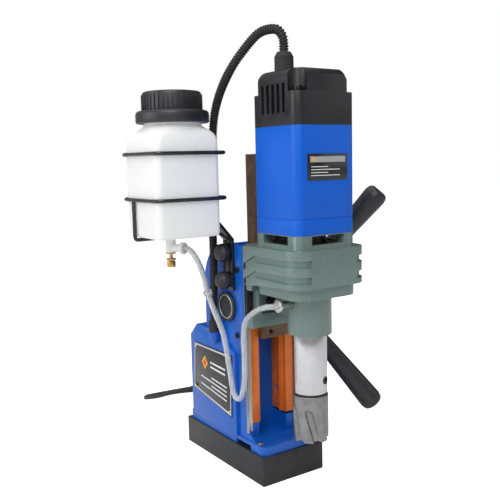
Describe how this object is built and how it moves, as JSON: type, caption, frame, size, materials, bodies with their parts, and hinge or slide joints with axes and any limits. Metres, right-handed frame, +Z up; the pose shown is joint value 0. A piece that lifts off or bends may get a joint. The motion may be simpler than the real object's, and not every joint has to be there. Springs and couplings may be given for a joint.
{
  "type": "magnetic drill press",
  "caption": "Portable drill with an electromagnet base, blue cast column with rack-and-pinion feed, geared motor head, annular cutter and white coolant bottle.",
  "frame": {"origin": "centre of the electromagnet's flat underside", "axes": "+Z up out of the work, -Y towards the spindle, +X towards the feed handles"},
  "size_m": [0.2826, 0.3979, 0.4695],
  "materials": {
    "magnet_steel": "black paint, satin",
    "coil": "enamelled copper in resin",
    "blue_casting": "gloss blue paint",
    "zinc": "bright zinc",
    "black_steel": "black oxide",
    "orange_gib": "orange, satin",
    "black_plate": "printed plate",
    "black_plastic": "moulded",
    "grip_plastic": "satin moulded",
    "polished_steel": "ground and polished",
    "bronze": "sintered bronze",
    "brown_steel": "oiled brown steel",
    "hammertone": "grey-green hammertone paint",
    "bearing_steel": "ground",
    "gear_steel": "cut teeth",
    "cutter_steel": "ground tool steel",
    "spring_steel": "spring wire",
    "motor_plastic": "satin blue moulding",
    "lamination": "laminated steel",
    "brush_brass": "stamped",
    "conduit_plastic": "corrugated",
    "board": "circuit board",
    "switch_red": "moulded",
    "switch_green": "moulded",
    "lead_rubber": "matt sheath",
    "bottle_white": "translucent white",
    "white_plastic": "moulded",
    "brass_part": "turned",
    "wire_black": "black powder coat",
    "clear_hose": "clear soft tube"
  },
  "bodies": {
    "stand": {"magnet_body": "magnet_steel", "magnet_coils": "coil", "column_casting": "blue_casting", "foot_screws": "zinc", "gib_left": "orange_gib", "gib_right": "orange_gib", "gib_screws": "zinc", "side_set_screws": "black_steel", "nameplate": "black_plate", "shaft_cover": "black_plastic", "pinion_bushes": "bronze", "shoulder_gland": "black_plastic", "conduit": "conduit_plastic", "rear_cover": "black_plastic", "cover_screws": "zinc", "control_board": "board", "lead_gland": "lead_rubber", "mains_lead": "lead_rubber", "lead_coil": "lead_rubber", "lead_tie": "black_plastic", "mains_plug": "lead_rubber", "bottle_bracket": "wire_black", "bottle": "bottle_white", "coolant_valve": "white_plastic", "coolant_hose": "clear_hose"},
    "carriage": {"slide": "brown_steel", "slide_guards": "black_plastic", "head_screws": "black_steel", "gearbox_housing": "hammertone", "gearbox_cover": "hammertone", "head_bearings": "bearing_steel", "motor_housing": "motor_plastic", "motor_end_cap": "black_plastic", "end_cap_screws": "black_steel", "motor_label": "black_plate", "stator_core": "lamination", "brush_gear": "brush_brass", "motor_gland": "black_plastic", "collar_fitting": "brass_part"},
    "feed": {"pinion_shaft": "polished_steel", "feed_hub": "black_steel", "feed_rods": "polished_steel", "feed_grips": "grip_plastic"},
    "spindle": {"spindle": "polished_steel", "spindle_gear": "gear_steel", "arbor_set_screws": "black_steel", "annular_cutter": "cutter_steel", "pilot_spring": "spring_steel"},
    "pilot": {"pilot_pin": "zinc"},
    "back_gear": {"back_shaft": "gear_steel"},
    "armature": {"armature": "lamination", "cooling_fan": "black_plastic"},
    "magnet_rocker": {"magnet_switch": "switch_red"},
    "start": {"start_button": "switch_green"},
    "stop": {"stop_button": "switch_red"},
    "knob_upper": {"knob_upper": "black_plastic"},
    "knob_lower": {"knob_lower": "black_plastic"},
    "valve_screw": {"valve_screw": "brass_part"},
    "bottle_ring": {"bottle_ring": "black_plastic"},
    "bottle_cap": {"bottle_cap": "black_plastic"}
  },
  "joints": [
    {"name": "carriage_feed", "type": "slide", "parent": "stand", "child": "carriage", "axis": [0, 0, 1], "range_m": [-0.1, 0.02], "deforming": ["conduit", "coolant_hose"]},
    {"name": "feed_turn", "type": "hinge", "parent": "stand", "child": "feed", "pos_m": [0, -0.013, 0.1825], "axis": [1, 0, 0], "range_deg": [-96, 478]},
    {"name": "spindle_spin", "type": "hinge", "parent": "carriage", "child": "spindle", "pos_m": [0, -0.11, 0.105], "axis": [0, 0, 1], "continuous": true},
    {"name": "back_gear_spin", "type": "hinge", "parent": "carriage", "child": "back_gear", "pos_m": [0, -0.084, 0.22], "axis": [0, 0, 1], "continuous": true},
    {"name": "armature_spin", "type": "hinge", "parent": "carriage", "child": "armature", "pos_m": [0, -0.104, 0.315], "axis": [0, 0, 1], "continuous": true},
    {"name": "pilot_press", "type": "slide", "parent": "spindle", "child": "pilot", "axis": [0, 0, 1], "range_m": [0, 0.014], "stiffness_N_per_m": 250, "springref_m": -0.004, "deforming": ["pilot_spring"]},
    {"name": "magnet_rock", "type": "hinge", "parent": "stand", "child": "magnet_rocker", "pos_m": [-0.014, 0.0677, 0.108], "axis": [1, 0, 0], "range_deg": [-8, 8]},
    {"name": "start_press", "type": "slide", "parent": "stand", "child": "start", "axis": [0, -1, 0], "range_m": [0, 0.003], "stiffness_N_per_m": 300, "springref_m": -0.001},
    {"name": "stop_press", "type": "slide", "parent": "stand", "child": "stop", "axis": [0, -1, 0], "range_m": [0, 0.003], "stiffness_N_per_m": 300, "springref_m": -0.001},
    {"name": "upper_knob_turn", "type": "hinge", "parent": "stand", "child": "knob_upper", "pos_m": [-0.046, -0.02, 0.243], "axis": [-1, 0, 0], "continuous": true},
    {"name": "lower_knob_turn", "type": "hinge", "parent": "stand", "child": "knob_lower", "pos_m": [-0.046, -0.02, 0.213], "axis": [-1, 0, 0], "continuous": true},
    {"name": "valve_turn", "type": "hinge", "parent": "stand", "child": "valve_screw", "pos_m": [-0.1035, -0.013, 0.24], "axis": [0, 0, 1], "continuous": true},
    {"name": "ring_turn", "type": "hinge", "parent": "stand", "child": "bottle_ring", "pos_m": [-0.096, -0.013, 0.384], "axis": [0, 0, 1], "continuous": true},
    {"name": "cap_lift", "type": "slide", "parent": "bottle_ring", "child": "bottle_cap", "axis": [0, 0, 1], "range_m": [0, 0.035]}
  ],
  "couplings": [
    {"joint": "feed_turn", "follows": "carriage_feed", "rad_per_m": -83.333},
    {"joint": "back_gear_spin", "follows": "armature_spin", "ratio": -0.42857},
    {"joint": "spindle_spin", "follows": "armature_spin", "ratio": 0.15789}
  ]
}
